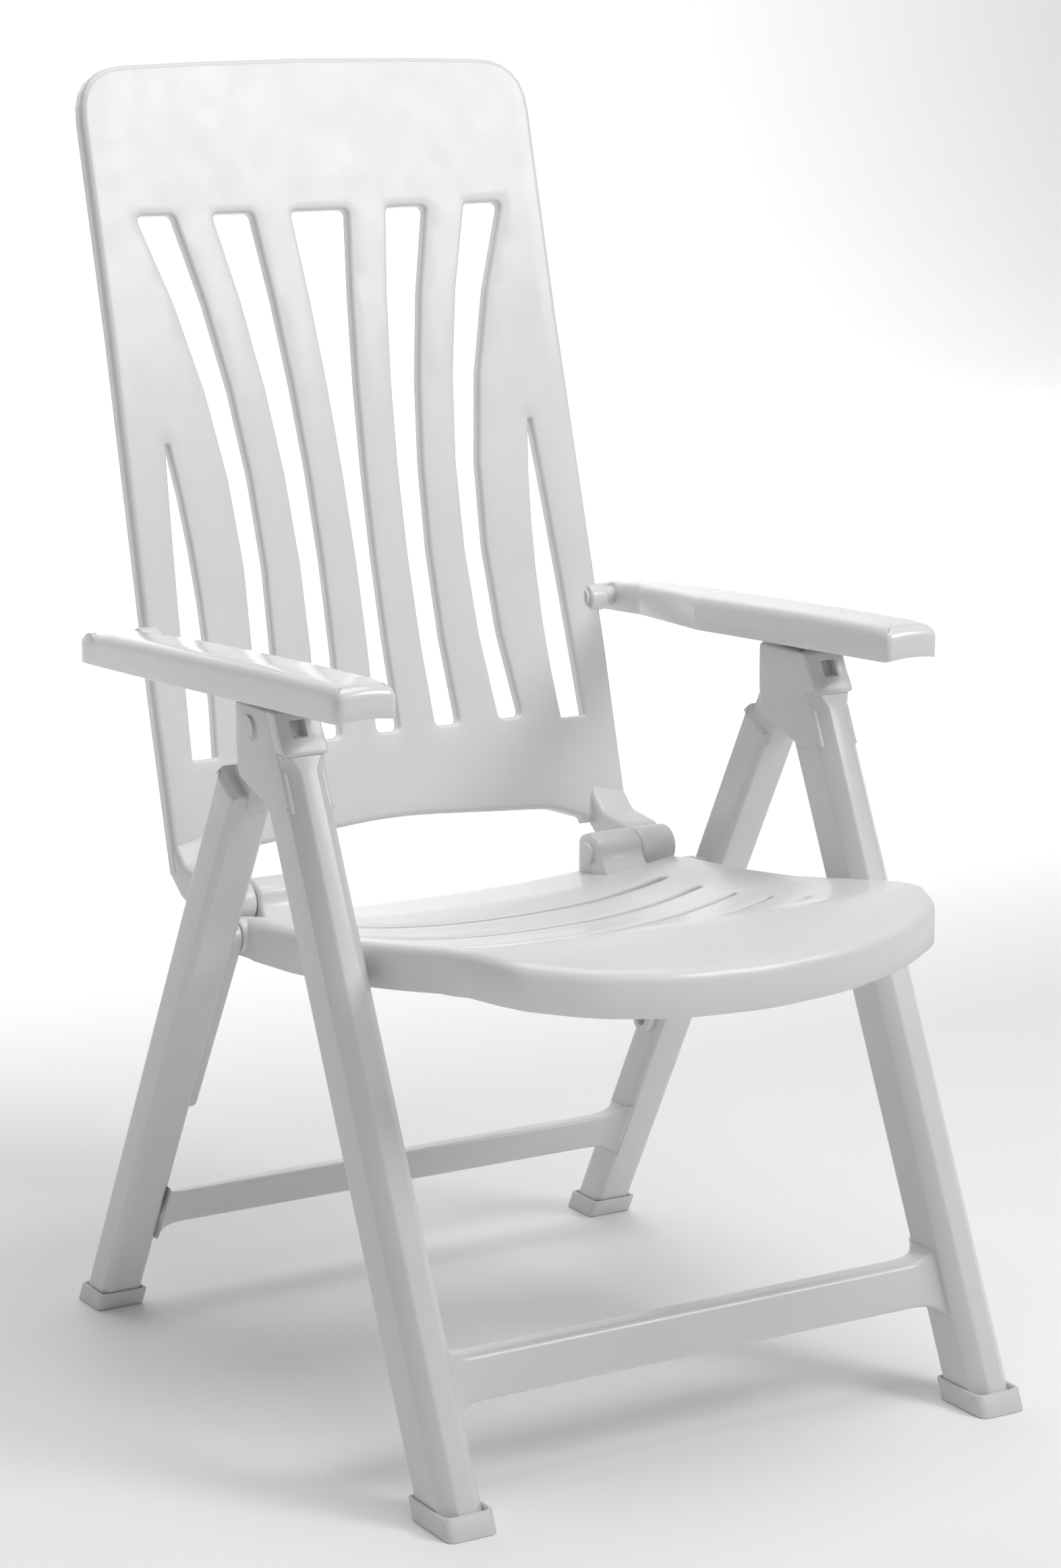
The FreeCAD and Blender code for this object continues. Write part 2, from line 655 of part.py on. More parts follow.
def seat_fittings():
    """Hinge knuckles, their brackets and the bosses around the pins, right side."""
    half = size("seat_half")
    hinge_y, hinge_z, knuckle = size("hinge_y"), size("hinge_z"), size("knuckle")
    inner = size("seat_knuckle_inner")
    outer = inner + size("seat_knuckle_wide")
    floor = size("seat_rear_z") - size("seat_skirt") + 4
    block = slab("side", inner, outer, [
        (hinge_y - knuckle, hinge_z),
        (hinge_y - knuckle - 26, floor + 14),
        (hinge_y - knuckle - 26, floor),
        (hinge_y + knuckle, floor),
        (hinge_y + knuckle, hinge_z),
    ])
    shape = block.fuse(rod_x(hinge_y, hinge_z, knuckle, inner, outer))
    wall = size("seat_wall")
    boss, gap = size("boss_radius"), size("side_gap")
    pins = [("seat_pin", "front_leg_inner", 0), ("slide", "rear_leg_inner", size("track_high"))]
    for place, stop, rail in pins:
        reach = size(stop) - rail - gap
        shape = shape.fuse(rod_x(size(f"{place}_y"), size(f"{place}_z"), boss, half - wall, reach))
    return shape


def seat_holes():
    gap = size("running_gap")
    inner = size("seat_knuckle_inner") - 2
    holes = rod_x(size("hinge_y"), size("hinge_z"), size("pin_radius") + gap, inner, size("seat_half"))
    head_radius = size("pin_radius") + 3 + gap
    head_start = size("seat_knuckle_inner") - size("head_high") - 30
    head = rod_x(size("hinge_y"), size("hinge_z"), head_radius, head_start, size("seat_knuckle_inner"))
    holes = holes.fuse(head)
    start = size("seat_half") - size("seat_wall") - 1
    front_radius = size("pin_radius") + gap
    holes = holes.fuse(rod_x(size("seat_pin_y"), size("seat_pin_z"), front_radius, start, start + 30))
    rear_radius = size("groove_wide") / 2 - 0.1 + gap
    return holes.fuse(rod_x(size("slide_y"), size("slide_z"), rear_radius, start, start + 30))


def lobe_room():
    """Space at the seat's rear corner for the back's lobe and knuckle to turn in, right side."""
    inner = size("lobe_inner") - size("side_gap")
    front = size("hinge_y") - size("knuckle") - 2.5
    low = size("seat_rear_z") - size("seat_skirt") - 60
    return slab("side", inner, size("seat_half") + 5, [
        (front, low),
        (size("seat_rear_y") + 20, low),
        (size("seat_rear_y") + 20, size("hinge_z") + 60),
        (front, size("hinge_z") + 60),
    ])


seat_solid = seat_shape().cut(lobe_room()).cut(mirrored(lobe_room()))
seat_solid = seat_solid.fuse(seat_fittings()).fuse(mirrored(seat_fittings()))
shaped("seat", seat_solid.cut(seat_holes()).cut(mirrored(seat_holes())))


def back_frame():
    """Placement of the back's own drawing plane: x across, y through the panel, z up along it."""
    turn = FreeCAD.Rotation(FreeCAD.Vector(1, 0, 0), -size("back_lean"))
    return FreeCAD.Placement(FreeCAD.Vector(0, size("back_y"), size("back_z")), turn)


def in_back(name):
    """A hinge centre in the back's own drawing plane, as (through, up)."""
    world = FreeCAD.Vector(0, size(f"{name}_y"), size(f"{name}_z"))
    local = back_frame().inverse().multVec(world)
    return local.y, local.z


def back_outline(inset, low):
    top, corner = size("back_top") - inset, size("back_corner") - inset * 0.7
    wide_top, wide_low = size("back_half_top") - inset, size("back_half_low") - inset
    crown = 9
    turn = corner * (1 - math.sqrt(0.5))
    return [
        (-wide_low, low),
        (wide_low, low),
        (wide_low, 60),
        (wide_top, 380),
        (wide_top, top - crown - corner),
        (wide_top - turn, top - crown - turn, wide_top - corner, top - crown),
        (0, top, -wide_top + corner, top - crown),
        (-wide_top + turn, top - crown - turn, -wide_top, top - crown - corner),
        (-wide_top, 380),
        (-wide_low, 60),
    ]


def slot_path(low, high, inner, outer):
    """A tall slot whose sides bow towards the middle of the back: widths at foot, waist and head."""
    waist = low + (high - low) * 0.55
    return [
        (inner[0], low),
        (outer[0], low),
        (outer[1], waist, outer[2], high),
        (inner[2], high),
        (inner[1], waist, inner[0], low),
    ]


def back_slots():
    low, high, side_high = size("slot_low"), size("slot_high"), size("side_slot_high")
    centre = [(-12, -12.5, -30), (12, 12.5, 30)]
    near = [(50, 48, 70), (75, 74, 112)]
    far = [(117, 110, 152), (141, 134, 191)]
    paths = [slot_path(low, high, *centre)]
    for inner, outer in (near, far):
        paths.append(slot_path(low, high, inner, outer))
        paths.append(slot_path(low, high, [-v for v in outer], [-v for v in inner]))
    short = [
        (182, low - 6),
        (206, low - 6),
        (199, low + 130, 191.5, side_high),
        (188.5, side_high),
        (177, low + 130, 182, low - 6),
    ]
    paths.append(short)
    paths.append([tuple(v if n % 2 else -v for n, v in enumerate(step)) for step in short])
    return [slab("front", -60, 60, path) for path in paths]


def back_shape():
    half, hollow = size("back_half_low"), size("back_hollow")
    skin, edge = size("back_skin"), size("back_edge")
    low = size("back_arch") - 30
    body = slab("front", -40, 40, back_outline(0, low))

    def trough(depth, wide):
        """Space in front of the hollow face, moved back by a depth."""
        return slab("plan", low - 10, size("back_top") + 10, [
            (-wide, -80), (wide, -80), (wide, depth - hollow), (0, depth, -wide, depth - hollow),
        ])

    body = body.common(trough(edge, half + 2)).cut(trough(0, half + 2))
    pocket_depth = slab("front", -40, 60, back_outline(skin + 2, low - 20)).cut(trough(skin, half + 2))
    panel = body.cut(pocket_depth)
    rib = slab("front", -40, 40, [
        (-half + 6, -70), (half - 6, -70), (half - 6, -64), (-half + 6, -64),
    ]).common(trough(edge - 3, half + 2)).cut(trough(1, half + 2))
    panel = panel.fuse(rib)
    arch = size("back_arch")
    inner = size("lobe_inner") - 8
    gap = slab("front", -60, 60, [
        (-inner, low - 20),
        (inner, low - 20),
        (inner, arch - 30),
        (inner - 6, arch - 17, inner - 26, arch - 12),
        (0, arch, -inner + 26, arch - 12),
        (-inner + 6, arch - 17, -inner, arch - 30),
    ])
    panel = panel.cut(gap)
    for slot in back_slots():
        panel = panel.cut(slot)
    return panel


def back_fittings():
    """Lobe and knuckle at the foot of the back and boss for the arm's pin, right side."""
    across, up = in_back("hinge")
    knuckle = size("knuckle")
    inner = size("lobe_inner")
    outer = inner + size("back_knuckle_wide")
    arch = size("back_arch")
    lobe = slab("side", inner, outer, [
        (-size("back_hollow") + 3, arch + 24),
        (3, arch + 24),
        (8, arch - 20),
        (-12, up - 4, across + 4, up - knuckle),
        (across - 6, up + knuckle - 1),
        (-24, up + 30, -size("back_hollow") + 1, arch - 6),
    ])
    arm_across, arm_up = in_back("arm_pivot")
    boss = rod_x(arm_across, arm_up, size("boss_radius") - 2, size("back_half_low") - 12,
                 size("back_half_low") + 6)
    return lobe.fuse(rod_x(across, up, knuckle, inner, outer)).fuse(boss)


def back_holes():
    radius = size("pin_radius") + size("running_gap")
    across, up = in_back("hinge")
    hole_end = size("lobe_inner") + size("back_knuckle_wide") - 2.9
    holes = rod_x(across, up, radius, size("lobe_inner") - 1, hole_end)
    arm_across, arm_up = in_back("arm_pivot")
    boss_start = size("back_half_low") - 12
    head = rod_x(arm_across, arm_up, radius + 3, boss_start - 30, boss_start)
    return holes.fuse(head).fuse(rod_x(arm_across, arm_up, radius, boss_start - 1, boss_start + 30))


back_solid = back_shape().fuse(back_fittings()).fuse(mirrored(back_fittings()))
back_solid = back_solid.cut(back_holes()).cut(mirrored(back_holes()))
shaped("backrest", back_solid, back_frame(), "dims.back_y")


def arm_side(inset, low_inset, start, end):
    """Side outline of the arm; the inset leaves a wall all round but the underside."""
    front, rear = size("arm_front") + inset, size("arm_rear") - inset
    middle = size("post_y")
    front_z, mid_z, rear_z = size("arm_front_z"), size("arm_mid_z"), size("arm_rear_z")
    front_top = front_z + size("arm_front_high") - inset
    mid_top = mid_z + size("arm_mid_high") - inset
    rear_top = rear_z + size("arm_rear_high") - inset
    return slab("side", start, end, [
        (front, front_z - low_inset),
        (middle, mid_z - low_inset),
        (rear - 12, rear_z - low_inset),
        (rear, rear_z + 10 - low_inset / 2),
        (rear - 4, rear_top - 16),
        (rear - 40, rear_top - 3),
        (middle + 120, (mid_top + rear_top) / 2 + 4, middle, mid_top),
        (front + 70, front_top + 2, front + 14, front_top),
        (front + 4, front_top - 4, front, front_top - 14),
    ])


def arm_plan(inset):
    front, rear = size("arm_front") + inset, size("arm_rear") - inset
    inner, outer = size("arm_inner") + inset, size("arm_inner") + size("arm_wide") - inset
    rear_inner = size("arm_inner") + size("arm_wide") - size("arm_rear_wide") + inset
    middle = size("post_y") + 60
    return slab("plan", 500, 800, [
        (inner + 4, front),
        (outer - 4, front),
        (outer - 1, front + 2, outer, front + 6),
        (outer, middle),
        (outer - 3, rear - 20),
        (outer - 14, rear - 4, outer - 26 + inset, rear),
        (rear_inner, rear - 16),
        (rear_inner, middle + 130),
        (inner, middle + 10),
        (inner, front + 6),
        (inner + 1, front + 2, inner + 4, front),
    ])


def rack_path(tip, root, start, count, pitch):
    """Saw-tooth underside of a rack: teeth hang between the notches."""
    path = []
    for number in range(count):
        here = start + pitch * number
        path.extend([(here, tip), (here + pitch * 0.38, tip), (here + pitch * 0.42, root),
                     (here + pitch * 0.96, root)])
    path.append((start + pitch * count, tip))
    return path


def arm_crown(inset):
    """Rounded cross-section drawn along the arm, which falls towards the rear."""
    inner, outer = size("arm_inner") + inset, size("arm_inner") + size("arm_wide") - inset
    front_top = size("arm_front_z") + size("arm_front_high") - inset
    rear_top = size("arm_rear_z") + size("arm_rear_high") - inset
    bend, start = size("arm_round"), size("arm_front") - 5
    turn = bend * (1 - math.sqrt(0.5))
    ends = [(inner, 500), (outer, 500), (outer, front_top - bend),
            (outer - turn, front_top - turn, outer - bend, front_top),
            ((inner + outer) / 2, front_top + 2, inner + bend, front_top),
            (inner + turn, front_top - turn, inner, front_top - bend)]
    thin = slab("front", start, start + 1, ends)
    face = min(thin.Faces, key=lambda each: each.CenterOfMass.y)
    length = size("arm_rear") - size("arm_front")
    return face.extrude(FreeCAD.Vector(0, length + 10, rear_top - front_top))


def arm_shape():
    inner, outer = size("arm_inner"), size("arm_inner") + size("arm_wide")
    skin = size("arm_skin")
    block = arm_side(0, 0, inner, outer).common(arm_plan(0)).common(arm_crown(0))
    room = arm_side(skin, 40, inner + skin, outer - skin).common(arm_plan(skin)).common(arm_crown(skin))
    shell = block.cut(room)
    gap = size("running_gap")
    pivot_y, pivot_z = size("arm_pivot_y"), size("arm_pivot_z")
    back_side = size("arm_inner") + size("arm_wide") - size("arm_rear_wide")
    housing = rod_x(pivot_y, pivot_z, size("bush_radius") + 4, back_side + 0.5, outer - skin)
    housing = housing.fuse(slab("side", back_side + 0.5, outer - skin, [
        (pivot_y - 7, pivot_z),
        (pivot_y + 7, pivot_z),
        (pivot_y + 7, pivot_z + 8),
        (pivot_y - 7, pivot_z + 8),
    ])).common(arm_side(0.5, 0, inner, outer))
    shell = shell.fuse(housing)
    bore = rod_x(pivot_y, pivot_z, size("bush_radius") + gap, inner - 5, outer - skin - 4)
    shell = shell.cut(bore)
    lean = math.atan2(size("arm_front_z") - size("arm_mid_z"), size("post_y") - size("arm_front"))
    tip = size("post_high") - 4 + 1.2
    notch_half = size("rack_pitch") * 0.27
    steps = int(size("rack_steps"))
    start = size("post_y") - notch_half - size("rack_pitch") * (0.42 + steps)
    inner_rack = size("front_leg_inner") + 2
    outer_rack = size("front_leg_inner") + size("leg_wide") - 2 - size("rack_wide")
    for left in (inner_rack, outer_rack):
        path = rack_path(tip, tip + size("rack_tooth"), start, steps + 2, size("rack_pitch"))
        path = path + [(path[-1][0], tip + 40), (path[0][0], tip + 40)]
        rack = slab("side", left, left + size("rack_wide"), path)
        rack = rack.common(arm_side(1, 0, inner, outer))
        shell = shell.fuse(rack)
    return shell


arm_right = shaped("armrest_right", arm_shape())
shaped("armrest_left", mirrored(arm_right.Shape))


# ---------------------------------------------------------------- origin, checks and files

doc.recompute()
boxes = [piece.Shape.optimalBoundingBox() for piece in pieces]
middle = (min(box.YMin for box in boxes) + max(box.YMax for box in boxes)) / 2
dims.set(f"B{len(SIZES)}", str(round(middle, 3)))
doc.recompute()
for item in doc.Objects:
    if "Invalid" in item.State or "Error" in item.State:
        raise ValueError(f"{item.Name} did not compute: {item.State}")
for piece in pieces:
    if piece.Shape.isNull() or not piece.Shape.isValid():
        raise ValueError(f"{piece.Label} is not a valid solid")
os.makedirs("parts", exist_ok=True)
for piece in pieces:
    piece.Shape.exportStep(f"parts/{piece.Label}.step")
    box = piece.Shape.optimalBoundingBox()
    print(piece.Label, len(piece.Shape.Solids), round(piece.Shape.Volume / 1000, 1), "cm3",
          [round(v, 1) for v in (box.XMin, box.XMax, box.YMin, box.YMax, box.ZMin, box.ZMax)])
for name in ("pivot_y", "pivot_z", "seat_pin_y", "seat_pin_z", "slide_y", "slide_z", "hinge_y", "hinge_z",
             "arm_pivot_y", "arm_pivot_z"):
    print(name, round(size(name) - (size("middle") if name.endswith("_y") else 0), 3))
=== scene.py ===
import math

import bmesh
import bpy
import numpy as np
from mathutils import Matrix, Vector, geometry


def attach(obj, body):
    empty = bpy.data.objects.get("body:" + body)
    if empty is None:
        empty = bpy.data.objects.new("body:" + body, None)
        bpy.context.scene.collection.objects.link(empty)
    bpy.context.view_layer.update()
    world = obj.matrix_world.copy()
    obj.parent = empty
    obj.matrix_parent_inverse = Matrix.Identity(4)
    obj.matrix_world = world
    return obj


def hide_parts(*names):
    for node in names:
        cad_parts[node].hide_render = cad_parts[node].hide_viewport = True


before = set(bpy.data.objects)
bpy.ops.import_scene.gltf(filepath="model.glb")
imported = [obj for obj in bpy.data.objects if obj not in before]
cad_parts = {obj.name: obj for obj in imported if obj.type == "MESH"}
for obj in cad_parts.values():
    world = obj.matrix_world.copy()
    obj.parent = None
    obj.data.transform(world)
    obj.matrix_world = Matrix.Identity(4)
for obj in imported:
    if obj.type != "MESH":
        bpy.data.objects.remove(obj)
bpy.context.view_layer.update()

# Pin centres in the side view, as (y, z).  PIVOT is where the legs cross.  TRACK is the direction of
# the grooved track down the rear leg, and TRACK_LEAN its lean from upright in degrees.
HINGE = (0.1086, 0.408)
ARM_PIN = (0.2336, 0.624)
SEAT_PIN = (-0.152, 0.4088)
SLIDE_PIN = (0.0597, 0.3909)
PIVOT_Y = -0.0594
PIVOT_Z = 0.600
TRACK_LEAN = 29.66
TRACK_Y = 0.495
TRACK_Z = -0.869


# ---------------------------------------------------------------- outlines


def rounded(corners, step=0.005):
    """Closed outline from corners (a, b, radius), with each corner rounded, as dense points."""
    points = []
    count = len(corners)
    for index in range(count):
        here = np.array(corners[index][:2], float)
        before = np.array(corners[index - 1][:2], float)
        after = np.array(corners[(index + 1) % count][:2], float)
        into = (before - here) / np.linalg.norm(before - here)
        away = (after - here) / np.linalg.norm(after - here)
        angle = math.acos(max(-1.0, min(1.0, float(into @ away))))
        reach = corners[index][2] / max(math.tan(angle / 2), 0.05)
        reach = min(reach, 0.49 * np.linalg.norm(before - here), 0.49 * np.linalg.norm(after - here))
        first = here + into * reach
        last = here + away * reach
        for t in np.linspace(0, 1, 7):
            points.append((1 - t) ** 2 * first + 2 * t * (1 - t) * here + t ** 2 * last)
    return spaced(np.array(points), step)


def spaced(points, step):
    """The same closed outline with points added so that none are further apart than a step."""
    out = []
    for here, after in zip(points, np.roll(points, -1, axis=0)):
        length = np.linalg.norm(after - here)
        if length < 1e-5:
            continue
        for t in np.arange(max(1, math.ceil(length / step))) / max(1, math.ceil(length / step)):
            out.append(here + (after - here) * t)
    return np.array(out)


def area(loop):
    a, b = loop.T
    return 0.5 * float(np.sum(a * np.roll(b, -1) - b * np.roll(a, -1)))


def turned(loop, anticlockwise):
    return loop if (area(loop) > 0) == anticlockwise else loop[::-1]


def inward(loop):
    """Unit normals of an outline that point to its left, which is where the material is."""
    along = np.roll(loop, -1, axis=0) - np.roll(loop, 1, axis=0)
    normal = np.stack([-along[:, 1], along[:, 0]], axis=1)
    return normal / np.linalg.norm(normal, axis=1, keepdims=True)


def inside(points, loops):
    """Which points lie inside an odd number of the outlines.  Given them all, that is the material."""
    odd = np.zeros(len(points), bool)
    x, y = points.T
    for loop in loops:
        for (ax, ay), (bx, by) in zip(loop, np.roll(loop, -1, axis=0)):
            if ay == by:
                continue
            crosses = (ay > y) != (by > y)
            odd ^= crosses & (x < ax + (y - ay) * (bx - ax) / (by - ay))
    return odd


# ---------------------------------------------------------------- moulded shapes


def fill(bm, rings, loops, spacing, lift):
    """Triangles between the rings of vertices, with extra points on the curved face inside."""
    flat = np.concatenate(loops)
    low, high = loops[0].min(0), loops[0].max(0)
    grid = np.stack(np.meshgrid(np.arange(low[0], high[0], spacing),
                                np.arange(low[1], high[1], spacing)), -1).reshape(-1, 2)
    grid = grid[inside(grid, loops)]
    near = np.array([np.min(np.sum((flat - g) ** 2, axis=1)) for g in grid])
    grid = grid[near > (0.45 * spacing) ** 2] if len(grid) else grid
    edges = []
    start = 0
    for loop in loops:
        n = len(loop)
        edges += [(start + k, start + (k + 1) % n) for k in range(n)]
        start += n
    places = [Vector(p) for p in flat] + [Vector(p) for p in grid]
    where, _, faces, origin, _, _ = geometry.delaunay_2d_cdt(places, edges, [], 1, 1e-7)
    verts = [v for ring in rings for v in ring]
    owner = []
    for index, source in enumerate(origin):
        owned = [s for s in source if s < len(verts)]
        owner.append(verts[owned[0]] if owned else bm.verts.new(lift(*where[index])))
    centres = np.array([[sum(where[i][k] for i in f) / 3 for k in (0, 1)] for f in faces])
    in_hole = inside(centres, loops[1:])
    for face, open_air in zip(faces, in_hole):
        corner = [owner[i] for i in face]
        if not open_air and len(set(corner)) == 3:
            try:
                bm.faces.new(corner)
            except ValueError:  # this triangle has been made already
                pass


def moulded(name, loops, profile, place, spacing=0.012):
    """A closed moulded form.  Round every outline a row of rings goes from the show face over the
    edge to the rear face; profile(number, a, b) lists (inset, depth) pairs and place(a, b, depth)
    gives the point in space."""
    bm = bmesh.new()
    loops = [turned(loop, number == 0) for number, loop in enumerate(loops)]
    face_rings, face_loops, rear_rings, rear_loops = [], [], [], []
    for number, loop in enumerate(loops):
        normals = inward(loop)
        steps = [profile(number, *point) for point in loop]
        rows, flats = [], []
        for k in range(len(steps[0])):
            flat = np.array([p + n * s[k][0] for p, n, s in zip(loop, normals, steps)])
            flats.append(flat)
            rows.append([bm.verts.new(place(p[0], p[1], s[k][1])) for p, s in zip(flat, steps)])
        for upper, lower in zip(rows, rows[1:]):
            for i in range(len(upper)):
                j = (i + 1) % len(upper)
                bm.faces.new((upper[i], lower[i], lower[j], upper[j]))
        face_rings.append(rows[0])
        face_loops.append(flats[0])
        rear_rings.append(rows[-1])
        rear_loops.append(flats[-1])
    rear_depth = profile(0, *loops[0][0])[-1][1]
    fill(bm, face_rings, face_loops, spacing, lambda a, b: place(a, b, 0))
    fill(bm, rear_rings, rear_loops, spacing, lambda a, b: place(a, b, rear_depth))
    return finished(bm, name)


def finished(bm, name):
    bmesh.ops.recalc_face_normals(bm, faces=bm.faces[:])
    mesh = bpy.data.meshes.new(name)
    bm.to_mesh(mesh)
    bm.free()
    for polygon in mesh.polygons:
        polygon.use_smooth = True
    made = bpy.data.objects.new(name, mesh)
    bpy.context.scene.collection.objects.link(made)
    return made


def round_over(radius, steps=5):
    """Quarter circle over an edge, as (inset, depth) pairs."""
    turns = [math.pi / 2 * k / steps for k in range(steps + 1)]
    return [(radius * (1 - math.sin(t)), radius * (1 - math.cos(t))) for t in turns]


def shell_edge(radius, edge, skin, wall):
    """Rolled rim of a thin shell: over the edge, down its side, round its lip and up behind it."""
    lip = min(0.0012, wall / 3)
    rows = round_over(radius)
    rows += [(0, edge - lip), (lip, edge), (wall - lip, edge), (wall, edge - lip)]
    rows += [(wall, skin + 0.002), (wall + 0.002, skin)]
    return rows


def plate_edge(front, thick, rear):
    """Edge of a solid plate, rounded on both faces."""
    rows = round_over(front)
    rows += [(inset, thick - depth) for inset, depth in reversed(round_over(rear))]
    return rows


def joined(name, parts):
    """One object from several closed forms."""
    bm = bmesh.new()
    for part in parts:
        bm.from_mesh(part.data)
        bpy.data.objects.remove(part)
    return finished(bm, name)


def flipped(part, name):
    """Mirror image of a part across x = 0."""
    bm = bmesh.new()
    bm.from_mesh(part.data)
    for vertex in bm.verts:
        vertex.co.x = -vertex.co.x
    return finished(bm, name)


def upright_plate(name, loops, start, thick, radius):
    """Plate in the side view: outlines in (y, z), from x = start to start + thick."""
    def profile(number, y, z):
        return plate_edge(radius, thick, radius)
    return moulded(name, loops, profile, lambda y, z, depth: (start + depth, y, z))


def knob(name, y, z, radius, start, thick, edge):
    """Round boss about an axis across the chair, from x = start to start + thick."""
    turns = np.linspace(0, 2 * math.pi, 41)[:-1]
    loop = np.stack([y + radius * np.cos(turns), z + radius * np.sin(turns)], 1)
    return upright_plate(name, [loop], start, thick, edge)


def along(line, values):
    """Smooth interpolation through (position, value) pairs."""
    places, heights = zip(*values)
    return float(np.interp(line, places, heights))


# ---------------------------------------------------------------- backrest


LEAN = math.radians(14.9)
BACK_FOOT = Vector((0, 0.2116, 0.520))
BACK_UP = Vector((0, math.sin(LEAN), math.cos(LEAN)))
BACK_IN = Vector((0, math.cos(LEAN), -math.sin(LEAN)))


def on_back(x, up, depth):
    """The back's show face is hollow across: its sides stand 12 mm in front of its middle."""
    hollow = 0.012 * min(1.0, (x / 0.236) ** 2)
    return Vector((x, 0, 0)) + BACK_FOOT + BACK_UP * up + BACK_IN * (depth - hollow)


def slot_loop(low, high, inner, outer):
    """Tall slot: its half-widths at foot, waist and head are joined by smooth curves."""
    waist = low + (high - low) * 0.55
    ups = np.linspace(low, high, 7)
    left = np.polyfit([low, waist, high], inner, 2)
    right = np.polyfit([low, waist, high], outer, 2)
    narrow = min(outer[0] - inner[0], outer[2] - inner[2])
    corner = min(0.006, narrow * 0.45)
    sides = [(np.polyval(right, up), up, 0.05) for up in ups]
    sides += [(np.polyval(left, up), up, 0.05) for up in ups[::-1]]
    for index in (0, 6, 7, 13):
        sides[index] = (*sides[index][:2], corner)
    return rounded(sides, 0.008)


def back_loops():
    outline = [(0.238, 0.06, 0.3), (0.233, 0.38, 0.3),
               (0.233, 0.6235, 0.052), (0.11, 0.629, 0.3), (0, 0.631, 0.3)]
    arch = [(-0.1925, -0.106, 0.004), (-0.1925, -0.100, 0.012), (-0.16, -0.088, 0.05),
            (0, -0.076, 0.6), (0.16, -0.088, 0.05), (0.1925, -0.100, 0.012), (0.1925, -0.106, 0.004),
            (0.238, -0.106, 0.006)]
    outline = outline + [(-a, b, r) for a, b, r in outline[::-1][1:]]
    loops = [rounded(outline + [(-0.238, -0.106, 0.006)] + arch, 0.006)]
    loops.append(slot_loop(0.002, 0.488, (-0.012, -0.0125, -0.030), (0.012, 0.0125, 0.030)))
    for side in (1, -1):
        pairs = [((0.050, 0.048, 0.070), (0.075, 0.074, 0.112), 0.002, 0.488),
                 ((0.117, 0.110, 0.152), (0.141, 0.134, 0.191), 0.002, 0.488),
                 ((0.182, 0.177, 0.1885), (0.206, 0.199, 0.1915), -0.004, 0.280)]
        for inner, outer, low, high in pairs:
            edges = [inner, outer] if side == 1 else [[-v for v in outer], [-v for v in inner]]
            loops.append(slot_loop(low, high, *edges))
    return loops


def back_profile(number, x, up):
    if number == 0:
        return shell_edge(0.0055, 0.0165, 0.005, 0.0035)
    return shell_edge(0.0032, 0.0125, 0.005, 0.0028)


def lobe_outline():
    """Side view of the lobe that carries the back's foot down and forward to the hinge."""
    return rounded([(0.0905, 0.412, 0.006), (0.0985, 0.392, 0.008), (0.1150, 0.389, 0.008),
                    (0.1400, 0.3935, 0.02), (0.1700, 0.4020, 0.02), (0.1935, 0.4195, 0.02),
                    (0.1995, 0.4450, 0.02), (0.2040, 0.4760, 0.003), (0.1945, 0.4770, 0.003),
                    (0.1835, 0.4500, 0.03), (0.1640, 0.4320, 0.02), (0.1250, 0.4275, 0.02)], 0.004)


def make_back():
    """Panel, and on each side a lobe, a knuckle 0.4 mm prouder than the lobe, and an arm boss."""
    parts = [moulded("back_panel", back_loops(), back_profile, on_back, 0.014)]
    for knuckle_start, lobe_start, boss_start in ((0.2005, 0.2009, 0.226), (-0.238, -0.2376, -0.244)):
        parts.append(upright_plate("lobe", [lobe_outline()], lobe_start, 0.0367, 0.005))
        parts.append(knob("knuckle", *HINGE, 0.019, knuckle_start, 0.0375, 0.004))
        parts.append(knob("arm_boss", *ARM_PIN, 0.013, boss_start, 0.018, 0.002))
    return joined("back_shell", parts)


# ---------------------------------------------------------------- seat


def seat_rim(y):
    """Height of the seat's top rim from the rear edge to the front lip."""
    return along(y, [(-0.415, 0.4370), (-0.385, 0.4465), (-0.352, 0.4545), (-0.315, 0.457),
                     (-0.28, 0.453), (-0.21, 0.4405), (-0.12, 0.425), (-0.03, 0.414),
                     (0.05, 0.408), (0.10, 0.399), (0.135, 0.394)])


def seat_dip(x, y):
    """Depth of the hollow for the sitter: none at the sides and front lip, most at the middle."""
    across = max(0.0, 1 - (abs(x) / 0.222) ** 2.6)
    to_front = min(1.0, max(0.0, (y + 0.335) / 0.16))
    eased = to_front * to_front * (3 - 2 * to_front)
    return (0.012 + 0.014 * min(1.0, max(0.0, (0.12 - y) / 0.2))) * across * eased


def on_seat(x, y, depth):
    return Vector((x, y, seat_rim(y) - seat_dip(x, y) - depth))


def seat_loops():
    corners = [(0.232, 0.086, 0.004), (0.232, -0.230, 0.3), (0.228, -0.305, 0.06), (0.207, -0.356, 0.05),
               (0.150, -0.388, 0.15), (0.080, -0.405, 0.3), (0, -0.411, 0.3)]
    corner_gap = [(0.199, 0.134, 0.006), (0.199, 0.086, 0.003)]
    right = corner_gap + corners
    left = [(-a, b, r) for a, b, r in right[::-1][1:]]
    loops = [rounded(right + left, 0.006)]
    for number in range(5):
        middle = -0.2295 + 0.057 * number
        reach = 0.178
        rear_side = [(a, middle + 0.018 * (a / reach) ** 2 + 0.0045) for a in np.linspace(-reach, reach, 13)]
        front_side = [(a, middle + 0.018 * (a / reach) ** 2 - 0.0045) for a in np.linspace(reach, -reach, 13)]
        ring = [(a, b, 0.0042 if abs(a) > 0.17 else 0.05) for a, b in rear_side + front_side]
        loops.append(rounded(ring, 0.006))
    return loops


